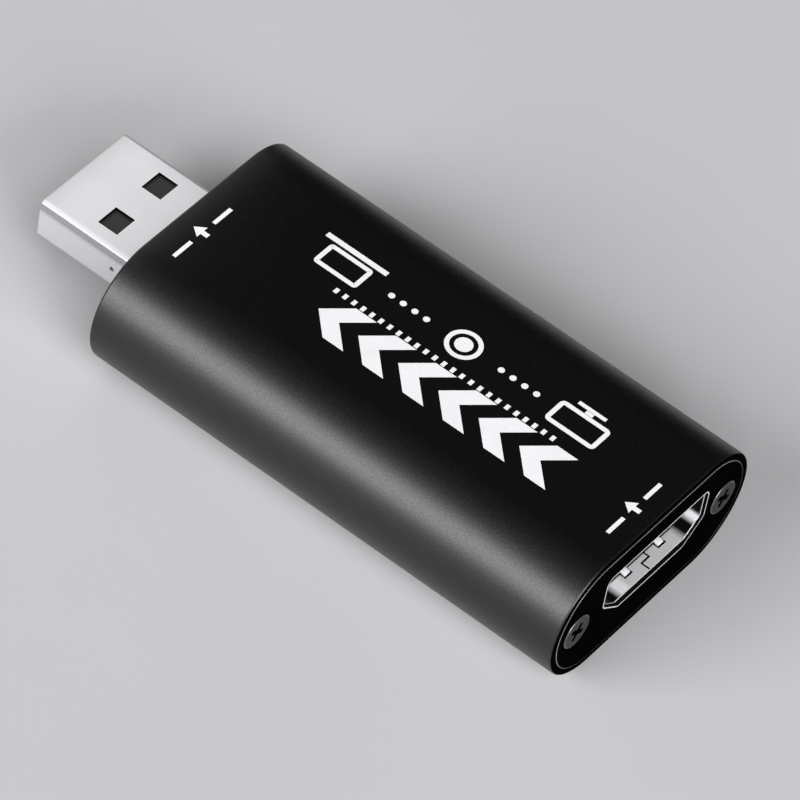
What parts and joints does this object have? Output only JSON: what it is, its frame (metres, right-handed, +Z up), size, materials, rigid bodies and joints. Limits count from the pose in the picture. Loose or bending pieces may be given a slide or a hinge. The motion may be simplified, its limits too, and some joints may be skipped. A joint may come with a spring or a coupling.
{
  "type": "video capture stick",
  "caption": "Plug-in video capture stick: a flat round-sided black metal sleeve with a D-shaped video socket in one end plate and a flat host plug standing out of the other.",
  "frame": {"origin": "middle of the sleeve's flat underside", "axes": "+Y along the stick, out of the host plug; +Z up, out of the printed face; X across"},
  "size_m": [0.028, 0.064, 0.013],
  "materials": {
    "black_anodised": "bead-blasted, black anodised, satin",
    "black_plate": "matte black anodised",
    "screw_steel": "dark nickel plated",
    "board": "green solder resist",
    "socket_sheet": "bright stainless sheet",
    "plug_sheet": "satin nickel-plated sheet",
    "insulator": "moulded, matte",
    "gold": "gold-flashed copper alloy",
    "chip": "moulded, matte",
    "tinned": "tin plated",
    "ceramic": "fired ceramic, matte",
    "ferrite": "pressed ferrite powder, matte"
  },
  "bodies": {
    "body": {"sleeve": "black_anodised", "front_plate": "black_plate", "rear_plate": "black_plate", "front_plate_screws": "screw_steel", "rear_plate_screws": "screw_steel", "circuit_board": "board", "socket_shell": "socket_sheet", "plug_shell": "plug_sheet", "socket_insulator": "insulator", "plug_insulator": "insulator", "socket_upper_contacts": "gold", "socket_lower_contacts": "gold", "plug_contacts": "gold", "capture_chip": "chip", "memory_chip": "chip", "core_regulator": "chip", "port_regulator": "chip", "surge_arrays": "chip", "resistors": "chip", "capture_chip_leads": "tinned", "memory_chip_leads": "tinned", "core_regulator_leads": "tinned", "port_regulator_leads": "tinned", "inductor_ends": "tinned", "capacitor_ends": "tinned", "resistor_ends": "tinned", "crystal_can": "tinned", "crystal_base": "ceramic", "capacitors": "ceramic", "inductor_core": "ferrite"},
    "spring_top_left": {"spring_top_left": "socket_sheet"},
    "spring_top_right": {"spring_top_right": "socket_sheet"},
    "spring_bottom_left": {"spring_bottom_left": "socket_sheet"},
    "spring_bottom_right": {"spring_bottom_right": "socket_sheet"}
  },
  "joints": [
    {"name": "spring_top_left_flex", "type": "hinge", "parent": "body", "child": "spring_top_left", "pos_m": [-0.0012, -0.02045, 0.00972], "axis": [-1, 0, 0], "range_deg": [0, 4.5], "stiffness_Nm_per_rad": 0.06},
    {"name": "spring_top_right_flex", "type": "hinge", "parent": "body", "child": "spring_top_right", "pos_m": [0.0036, -0.02045, 0.00972], "axis": [-1, 0, 0], "range_deg": [0, 4.5], "stiffness_Nm_per_rad": 0.06},
    {"name": "spring_bottom_left_flex", "type": "hinge", "parent": "body", "child": "spring_bottom_left", "pos_m": [-0.0012, -0.02045, 0.00487], "axis": [1, 0, 0], "range_deg": [0, 4.5], "stiffness_Nm_per_rad": 0.06},
    {"name": "spring_bottom_right_flex", "type": "hinge", "parent": "body", "child": "spring_bottom_right", "pos_m": [0.0036, -0.02045, 0.00487], "axis": [1, 0, 0], "range_deg": [0, 4.5], "stiffness_Nm_per_rad": 0.06}
  ]
}
